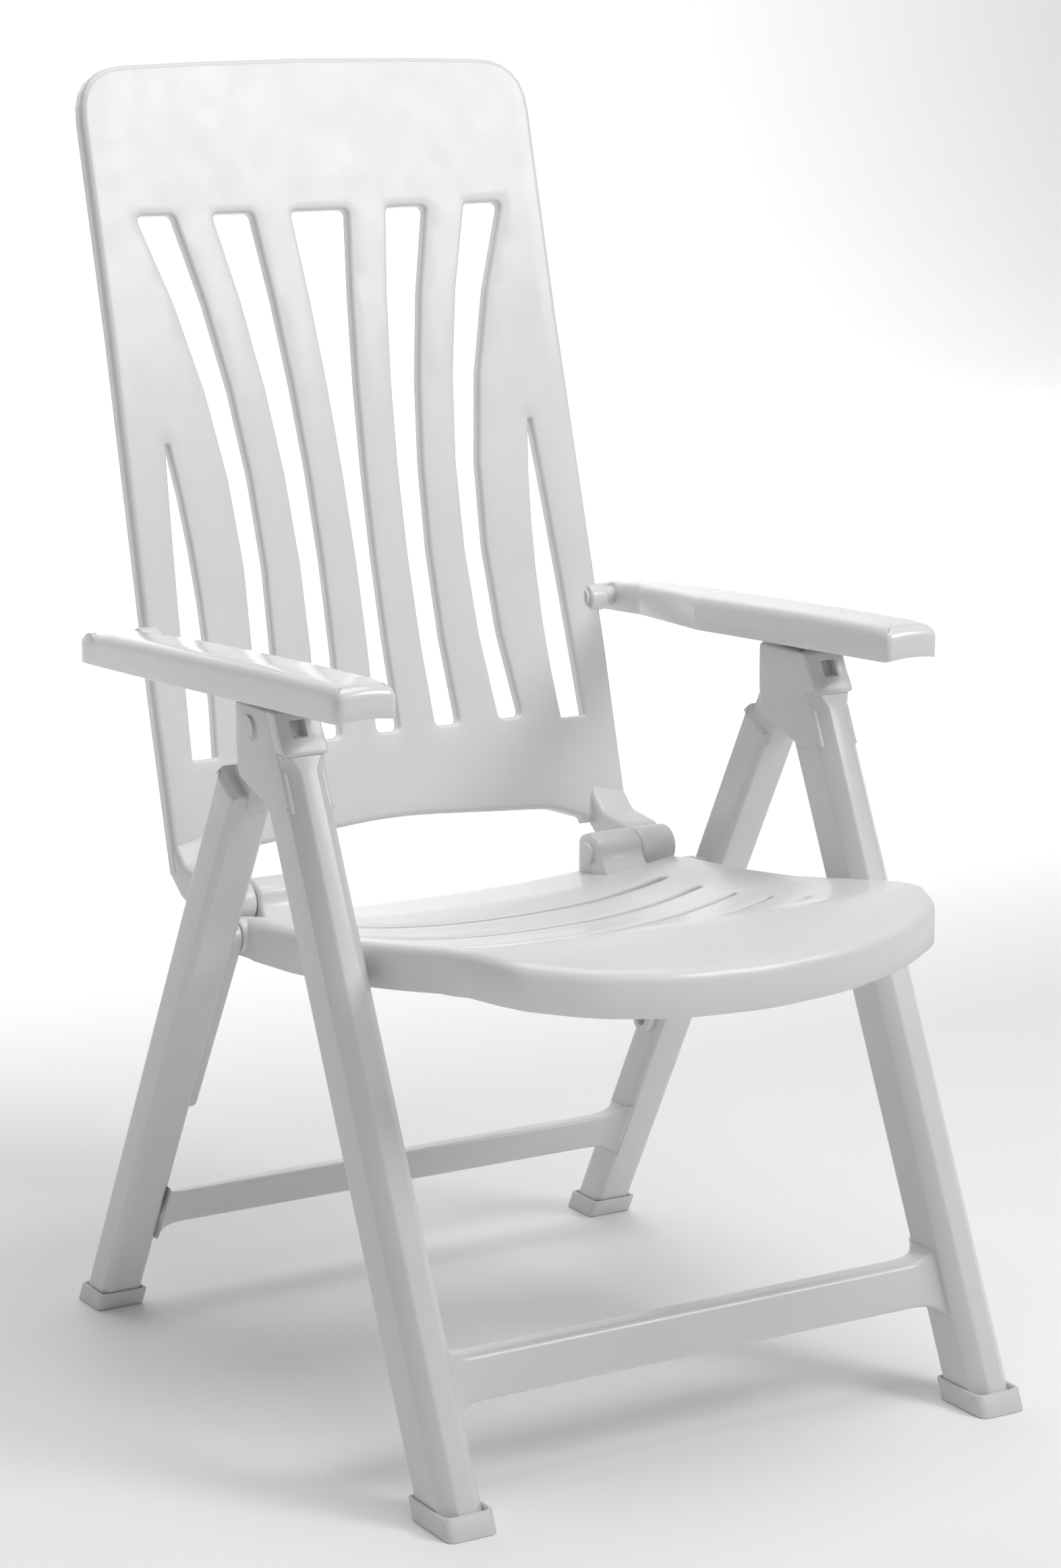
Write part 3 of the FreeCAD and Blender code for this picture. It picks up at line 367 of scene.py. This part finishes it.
def seat_profile(number, x, y):
    if number > 0:
        return shell_edge(0.0022, 0.0125, 0.004, 0.0025)
    ahead = min(1.0, max(0.0, (0.10 - y) / 0.06))
    radius = 0.0045 + 0.0050 * ahead
    edge = 0.030 + 0.007 * ahead
    return shell_edge(radius, edge, 0.004, 0.0045)


def knuckle_outline():
    """Side view of the block that stands up from the seat round the hinge pin."""
    return rounded([(0.0905, 0.366, 0.004), (0.0640, 0.366, 0.006), (0.0640, 0.380, 0.01),
                    (0.0880, 0.4075, 0.02), (0.0900, 0.4215, 0.016), (0.1086, 0.4285, 0.016),
                    (0.1272, 0.4215, 0.016), (0.1276, 0.4080, 0.02), (0.1276, 0.366, 0.005)], 0.004)


def make_seat():
    """Panel, and on each side a hinge knuckle, the rim of its pin and two pin bosses."""
    parts = [moulded("seat_panel", seat_loops(), seat_profile, on_seat, 0.011)]
    for side, knuckle_start, rim_start in ((1, 0.152, 0.148), (-1, -0.200, -0.154)):
        parts.append(upright_plate("seat_knuckle", [knuckle_outline()], knuckle_start, 0.048, 0.004))
        parts.append(knob("pin_rim", *HINGE, 0.0105, rim_start, 0.006, 0.0015))
        for centre, reach in ((SEAT_PIN, 0.0155), (SLIDE_PIN, 0.0105)):
            boss_start = 0.227 if side == 1 else -0.227 - reach
            parts.append(knob("pin_boss", *centre, 0.015, boss_start, reach, 0.0018))
    return joined("seat_shell", parts)


# ---------------------------------------------------------------- arms


def arm_top(y):
    return along(y, [(-0.234, 0.6600), (-0.222, 0.6625), (-0.20, 0.6630), (-0.10, 0.6590), (0.0, 0.6535),
                     (0.12, 0.647), (0.20, 0.6415), (0.25, 0.636), (0.277, 0.629)])


def arm_low(y):
    return along(y, [(-0.234, 0.6320), (-0.0064, 0.6205), (0.26, 0.606), (0.277, 0.612)])


def on_arm(x, y, depth):
    crown = 0.0025 * (1 - min(1.0, abs(x - 0.2665) / 0.0275) ** 2)
    return Vector((x, y, arm_top(y) + crown - 0.0025 - depth))


def arm_profile(number, x, y):
    deep = arm_top(y) - arm_low(y) - 0.0025
    return shell_edge(0.0085, deep, 0.0035, 0.0035)


def rack_outline():
    """Side view of the notched rib under the arm: seven teeth at the CAD rack's pitch."""
    tooth_low = 0.6385
    notch_top = 0.6425
    rib = []
    for number in range(7):
        y = -0.2075 + 0.02244 * number
        rib += [(y, tooth_low), (y + 0.0085, tooth_low), (y + 0.0094, notch_top), (y + 0.0215, notch_top)]
    rib += [(-0.0505, tooth_low), (-0.0505, 0.651), (-0.2075, 0.654)]
    return rounded([(y, z, 0.0006) for y, z in rib], 0.01)


def make_arm():
    """Right-hand arm: a hollow shell, the housing of its bush and two racks underneath."""
    plan = rounded([(0.239, -0.2335, 0.007), (0.294, -0.2335, 0.009), (0.294, 0.06, 0.3),
                    (0.2915, 0.250, 0.03), (0.282, 0.2745, 0.012), (0.268, 0.2765, 0.012),
                    (0.2545, 0.262, 0.012), (0.2545, 0.185, 0.06), (0.239, 0.065, 0.06)], 0.005)
    parts = [moulded("arm_panel", [plan], arm_profile, on_arm, 0.009)]
    parts.append(knob("bush_house", *ARM_PIN, 0.013, 0.2555, 0.036, 0.0015))
    for start in (0.245, 0.276):
        parts.append(upright_plate("rack", [rack_outline()], start, 0.005, 0.0004))
    return joined("arm_right_shell", parts)


# ---------------------------------------------------------------- legs


FRONT_SLOPE = math.tan(math.radians(24.56))
REAR_SLOPE = math.tan(math.radians(28.37))
FRONT_HALF = 0.0275
REAR_HALF = 0.0193
FRONT_INNER = 0.243
REAR_INNER = 0.247
LEG_WIDE = 0.040


def front_line(z):
    return -0.3614 + FRONT_SLOPE * z


def rear_line(z):
    return 0.2726 - REAR_SLOPE * z


def soft_chamfer(size):
    """Flat chamfer whose two bends are eased, as (inset, depth) pairs."""
    ease = 0.0014
    return [(size + ease, 0), (size + 0.2 * ease, 0.0001), (size - ease, ease * 0.8),
            (ease * 0.8, size - ease), (0.0001, size + 0.2 * ease), (0, size + ease)]


def leg_plate(name, outline, start, thick, chamfer):
    """Leg in the side view with a chamfer on both faces, of a size that may vary along the outline."""
    def profile(number, y, z):
        rows = soft_chamfer(chamfer(y, z))
        return rows + [(inset, thick - depth) for inset, depth in reversed(rows)]
    return moulded(name, [outline], profile, lambda y, z, depth: (start + depth, y, z), 0.02)


def bar(name, end, y, z, lean, high, deep):
    """Crossbar between the legs: a rounded section that flares where it meets them."""
    places = [end, end - 0.003, end - 0.007, end - 0.012, end - 0.019, end - 0.03, end * 0.5, 0.0]
    flares = [0.0110, 0.0072, 0.0042, 0.0020, 0.0006, 0.0, 0.0, 0.0]
    bm = bmesh.new()
    rows = []
    for x, flare in [(-p, f) for p, f in zip(places, flares)] + list(zip(places, flares))[::-1][1:]:
        half_deep = deep / 2 + flare
        half_high = high / 2 + flare
        section = rounded([(-half_deep, -half_high, 0.0045), (half_deep, -half_high, 0.0045),
                           (half_deep, half_high, 0.0045), (-half_deep, half_high, 0.0045)], 1.0)
        rows.append([bm.verts.new((x, y + a + lean * b, z + b)) for a, b in section])
    for before, after in zip(rows, rows[1:]):
        for i in range(len(before)):
            j = (i + 1) % len(before)
            bm.faces.new((before[i], after[i], after[j], before[j]))
    bm.faces.new(rows[0])
    bm.faces.new(rows[-1][::-1])
    return finished(bm, name)


def front_chamfer(y, z):
    """Broad down both corners of the nose up to the hub, small behind."""
    nose = y < front_line(z) - 0.012
    fade = min(1.0, max(0.0, (0.588 - z) / 0.012))
    return 0.0025 + 0.0095 * fade if nose else 0.0040


def hub_layer(name, start, thick, outline, edge):
    """One layer of the hub; edge gives the rounding of its inner and outer face."""
    def profile(number, y, z):
        return plate_edge(edge[0], thick, edge[1])
    return moulded(name, [outline], profile, lambda y, z, depth: (start + depth, y, z), 0.02)


def make_bracket():
    """Square-windowed bracket on the front of the hub, a little proud of the leg below it."""
    frame_loop = rounded([(0.2423, 0.586, 0.004), (0.2837, 0.586, 0.004),
                          (0.2837, 0.621, 0.003), (0.2423, 0.621, 0.003)], 0.004)
    window = rounded([(0.2580, 0.600, 0.0015), (0.2720, 0.600, 0.0015),
                      (0.2720, 0.6135, 0.0015), (0.2580, 0.6135, 0.0015)], 0.003)

    def profile(number, x, z):
        return plate_edge(0.0010 if number else 0.0025, 0.016, 0.0008)

    def place(x, z, depth):
        proud = 0.0034 - 0.0024 * min(1.0, max(0.0, (z - 0.592) / 0.012))
        return (x, front_line(z) - FRONT_HALF - proud + depth, z)
    return moulded("bracket", [frame_loop, window], profile, place, 0.006)


def make_front_leg():
    """Right-hand front leg, its bracket, and the hub as a block between two cheeks."""
    half = FRONT_HALF
    leg = rounded([
        (front_line(0.0045) - half, 0.0045, 0.002), (front_line(0.0045) + half, 0.0045, 0.002),
        (front_line(0.545) + half, 0.545, 0.002), (front_line(0.590) + 0.004, 0.590, 0.002),
        (front_line(0.590) - half, 0.590, 0.002)], 0.008)
    nose = 0.009 - half
    cheek = rounded([
        (front_line(0.540) + nose, 0.540, 0.002), (front_line(0.534) + half - 0.013, 0.534, 0.02),
        (-0.0364, 0.556, 0.012), (-0.0334, 0.584, 0.02), (-0.0334, 0.621, 0.005),
        (front_line(0.621) + nose, 0.621, 0.002)], 0.006)
    block = rounded([
        (front_line(0.535) + nose, 0.535, 0.002), (-0.0905, 0.535, 0.002), (-0.0792, 0.596, 0.004),
        (-0.0850, 0.606, 0.008), (-0.0800, 0.6175, 0.006), (-0.0640, 0.6260, 0.004),
        (-0.0644, 0.641, 0.004), (-0.0914, 0.641, 0.004), (-0.0954, 0.621, 0.002),
        (front_line(0.621) + nose, 0.621, 0.002)], 0.005)
    parts = [leg_plate("leg", leg, FRONT_INNER, LEG_WIDE, front_chamfer), make_bracket(),
             hub_layer("outer_cheek", 0.275, 0.0086, cheek, (0.0004, 0.0035)),
             hub_layer("inner_cheek", 0.2424, 0.0086, cheek, (0.0035, 0.0004)),
             hub_layer("hub_block", 0.2508, 0.0244, block, (0.0008, 0.0008))]
    return parts


def rear_chamfer(y, z):
    return 0.0050


def stadium(first, last, radius):
    """Outline of a groove or rail of one width along the track, from one centre to the other."""
    points = []
    for centre, begin in ((first, TRACK_LEAN), (last, TRACK_LEAN + 180)):
        for k in range(13):
            t = math.radians(begin + 15 * k)
            points.append((centre[0] + radius * math.cos(t), centre[1] + radius * math.sin(t)))
    return spaced(np.array(points), 0.012)


def make_rear_leg():
    """Right-hand rear leg, with the tongue into the hub and the grooved rail for the slide pin."""
    turns = [math.radians(17.5 + 7.1 * k) for k in range(6)]
    top = [(PIVOT_Y + 0.0655 * math.sin(t), PIVOT_Z - 0.0655 * math.cos(t), 0.004) for t in turns]
    top[-1] = (*top[-1][:2], 0.010)
    outline = rounded([(rear_line(0.0045) - REAR_HALF, 0.0045, 0.002)] + top +
                      [(rear_line(0.0045) + REAR_HALF, 0.0045, 0.002)], 0.008)
    across = (-TRACK_Z * 0.018, TRACK_Y * 0.018)
    end = (PIVOT_Y + TRACK_Y * 0.078, PIVOT_Z + TRACK_Z * 0.078)
    arc = [math.radians(-40 + 23.3 * k) for k in range(13)]
    tongue = [(end[0] + across[0], end[1] + across[1], 0.003)]
    tongue += [(PIVOT_Y + 0.0255 * math.cos(t + 0.52), PIVOT_Z + 0.0255 * math.sin(t + 0.52), 0.01)
               for t in arc]
    tongue += [(end[0] - across[0], end[1] - across[1], 0.003)]
    tongue_loop = rounded(tongue, 0.006)
    rail_long = 0.188
    rail_end = (SLIDE_PIN[0] + TRACK_Y * rail_long, SLIDE_PIN[1] + TRACK_Z * rail_long)
    rail = stadium(SLIDE_PIN, rail_end, 0.013)
    groove = stadium(SLIDE_PIN, rail_end, 0.0065)
    parts = [leg_plate("leg", outline, REAR_INNER, LEG_WIDE, rear_chamfer),
             hub_layer("tongue", 0.2515, 0.023, tongue_loop, (0.002, 0.002)),
             upright_plate("rail", [rail, groove], 0.238, 0.0105, 0.0016)]
    return parts


def both(parts):
    """The given right-hand parts and their mirror images."""
    return parts + [flipped(part, part.name) for part in parts]


def make_cap(name, line, slope, half, inner):
    """Push-on foot cap: a shallow cup whose sides follow the leg."""
    nose = 0.0095 if slope > 0 else 0.0055
    front, rear = line(0) - half, line(0) + half
    plan = rounded([(inner, front, nose), (inner + 0.047, front, nose),
                    (inner + 0.047, rear, 0.0055), (inner, rear, 0.0055)], 0.004)

    def profile(number, x, y):
        return shell_edge(0.0018, 0.0184, 0.004, 0.0032)
    return moulded(name, [plan], profile, lambda x, y, depth: (x, y + slope * depth, depth), 0.02)


def make_frames():
    front = joined("front_frame_moulding", both(make_front_leg()) + [
        bar("front_bar", 0.2445, front_line(0.102) + 0.008, 0.102, FRONT_SLOPE, 0.035, 0.020)])
    rear = joined("rear_frame_moulding", both(make_rear_leg()) + [
        bar("rear_bar", 0.2485, rear_line(0.103) - 0.004, 0.103, -REAR_SLOPE, 0.035, 0.020)])
    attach(front, "front_frame")
    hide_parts("front_leg_frame")
    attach(rear, "rear_frame")
    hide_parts("rear_leg_frame")
    caps = []
    for where, line, slope, half, inner in (("front", front_line, FRONT_SLOPE, 0.0310, 0.2395),
                                            ("rear", rear_line, -REAR_SLOPE, 0.0228, 0.2435)):
        right = make_cap(f"{where}_cap_right", line, slope, half, inner)
        left = flipped(right, f"{where}_cap_left")
        for cap, side in ((right, "right"), (left, "left")):
            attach(cap, f"{where}_frame")
            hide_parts(f"{where}_foot_cap_{side}")
            caps.append(cap)
    return front, rear, caps


front_legs, rear_legs, foot_caps = make_frames()
back = make_back()
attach(back, "back")
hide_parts("backrest")
seat = make_seat()
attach(seat, "seat")
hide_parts("seat")
arm_right = make_arm()
arm_left = flipped(arm_right, "arm_left_shell")
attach(arm_right, "arm_right")
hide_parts("armrest_right")
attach(arm_left, "arm_left")
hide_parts("armrest_left")


# ---------------------------------------------------------------- materials


def shader(material, colour, rough, coat):
    material.use_nodes = True
    tree = material.node_tree
    surface = tree.nodes["Principled BSDF"]
    surface.inputs["Base Color"].default_value = (*colour, 1)
    surface.inputs["Roughness"].default_value = rough
    surface.inputs["Coat Weight"].default_value = coat
    surface.inputs["Coat Roughness"].default_value = 0.12
    surface.inputs["IOR"].default_value = 1.49
    surface.inputs["Subsurface Weight"].default_value = 0.06
    surface.inputs["Subsurface Radius"].default_value = (0.006, 0.005, 0.004)
    surface.inputs["Subsurface Scale"].default_value = 1.0
    return tree, surface


def noise(tree, scale, detail, vector):
    node = tree.nodes.new("ShaderNodeTexNoise")
    node.inputs["Scale"].default_value = scale
    node.inputs["Detail"].default_value = detail
    tree.links.new(vector, node.inputs["Vector"])
    return node.outputs["Fac"]


def ramp(tree, value, low, high, first, last):
    node = tree.nodes.new("ShaderNodeMapRange")
    node.inputs["From Min"].default_value = low
    node.inputs["From Max"].default_value = high
    node.inputs["To Min"].default_value = first
    node.inputs["To Max"].default_value = last
    tree.links.new(value, node.inputs["Value"])
    return node.outputs["Result"]


def tint(tree, factor, first, second):
    node = tree.nodes.new("ShaderNodeMix")
    node.data_type = "RGBA"
    node.inputs["A"].default_value = (*first, 1)
    node.inputs["B"].default_value = (*second, 1)
    tree.links.new(factor, node.inputs["Factor"])
    return node.outputs["Result"]


def resin(material, colour, shade, rough, grain, coat):
    """White moulded resin: soft variation of tone, uneven sheen, a fine spark-eroded grain."""
    tree, surface = shader(material, colour, rough[0], coat)
    place = tree.nodes.new("ShaderNodeTexCoord").outputs["Object"]
    cloudy = noise(tree, 7.0, 3.0, place)
    patch = ramp(tree, cloudy, 0.3, 0.72, 0.0, 1.0)
    tree.links.new(tint(tree, patch, colour, shade), surface.inputs["Base Color"])
    worn = noise(tree, 38.0, 4.0, place)
    tree.links.new(ramp(tree, worn, 0.3, 0.75, *rough), surface.inputs["Roughness"])
    fine = noise(tree, 1500.0, 2.0, place)
    bump = tree.nodes.new("ShaderNodeBump")
    bump.inputs["Strength"].default_value = grain
    bump.inputs["Distance"].default_value = 0.0002
    tree.links.new(fine, bump.inputs["Height"])
    tree.links.new(bump.outputs["Normal"], surface.inputs["Normal"])
    return material


def paint(thing, material):
    thing.data.materials.clear()
    thing.data.materials.append(material)


shell_resin = resin(bpy.data.materials.new("shell_resin"), (0.80, 0.785, 0.795), (0.765, 0.752, 0.765),
                    (0.30, 0.42), 0.35, 0.25)
arm_resin = resin(bpy.data.materials.new("arm_resin"), (0.82, 0.81, 0.815), (0.79, 0.78, 0.79),
                  (0.20, 0.30), 0.12, 0.5)
for thing in (back, seat):
    paint(thing, shell_resin)
for thing in (arm_right, arm_left):
    paint(thing, arm_resin)
# Leg resin: the shell's white resin with its colour painted darker, as painted shade on the legs; its cloudy
# tone variation is random.
leg_resin_painted_shade = resin(bpy.data.materials.new("leg_resin_painted_shade"), (0.74, 0.725, 0.735), (0.71, 0.695, 0.71),
                  (0.28, 0.40), 0.25, 0.3)
foot_resin = resin(bpy.data.materials.new("foot_resin"), (0.71, 0.695, 0.70), (0.66, 0.645, 0.645),
                   (0.45, 0.6), 0.5, 0.05)
for thing in (front_legs, rear_legs):
    paint(thing, leg_resin_painted_shade)
for thing in foot_caps:
    paint(thing, foot_resin)
resin(bpy.data.materials["pin"], (0.76, 0.75, 0.755), (0.72, 0.71, 0.715), (0.35, 0.5), 0.3, 0.1)


# ---------------------------------------------------------------- studio


def floor():
    """Pale floor that curves up into a plain backdrop behind the chair."""
    bm = bmesh.new()
    bend = [(6.0 + 2.0 * math.sin(t), 2.0 - 2.0 * math.cos(t)) for t in np.linspace(0, math.pi / 2, 12)]
    profile = [(-9.0, 0.0), (0.0, 0.0)] + bend + [(8.0, 9.0)]
    rows = [[bm.verts.new((x, y, z)) for x in (-12, 12)] for y, z in profile]
    for near, far in zip(rows, rows[1:]):
        bm.faces.new((near[0], near[1], far[1], far[0]))
    made = finished(bm, "studio_floor")
    material = bpy.data.materials.new("studio_floor")
    tree, surface = shader(material, (0.94, 0.94, 0.94), 0.7, 0.0)
    surface.inputs["Subsurface Weight"].default_value = 0.0
    place = tree.nodes.new("ShaderNodeTexCoord").outputs["Object"]
    soft = ramp(tree, noise(tree, 2.0, 2.0, place), 0.3, 0.7, 0.65, 0.75)
    tree.links.new(soft, surface.inputs["Roughness"])
    paint(made, material)


def lamp(name, place, aim, size, power):
    data = bpy.data.lights.new(name, "AREA")
    data.shape = "DISK"
    data.size = size
    data.energy = power
    made = bpy.data.objects.new(name, data)
    bpy.context.scene.collection.objects.link(made)
    made.location = place
    made.rotation_euler = (Vector(aim) - Vector(place)).to_track_quat("-Z", "Y").to_euler()


def studio():
    world = bpy.data.worlds.new("studio")
    bpy.context.scene.world = world
    world.use_nodes = True
    world.node_tree.nodes["Background"].inputs["Color"].default_value = (1, 1, 1, 1)
    world.node_tree.nodes["Background"].inputs["Strength"].default_value = 0.30
    lamp("key", (1.7, -2.3, 2.6), (0, 0, 0.6), 1.2, 36)
    lamp("top", (0.3, -0.4, 4.6), (0.2, 0.2, 0), 3.4, 84)
    lamp("backdrop", (1.5, 3.0, 4.0), (1.5, 7.8, 1.2), 4.6, 380)


def camera():
    data = bpy.data.cameras.new("photo_view")
    data.lens = 92.5
    data.sensor_width = 36
    made = bpy.data.objects.new("photo_view", data)
    bpy.context.scene.collection.objects.link(made)
    made.location = (-1.7689, -2.9772, 1.2506)
    made.rotation_euler = (math.radians(77.94), 0, math.radians(-31.06))
    bpy.context.scene.camera = made


floor()
studio()
camera()
bpy.context.scene.view_settings.view_transform = "Standard"
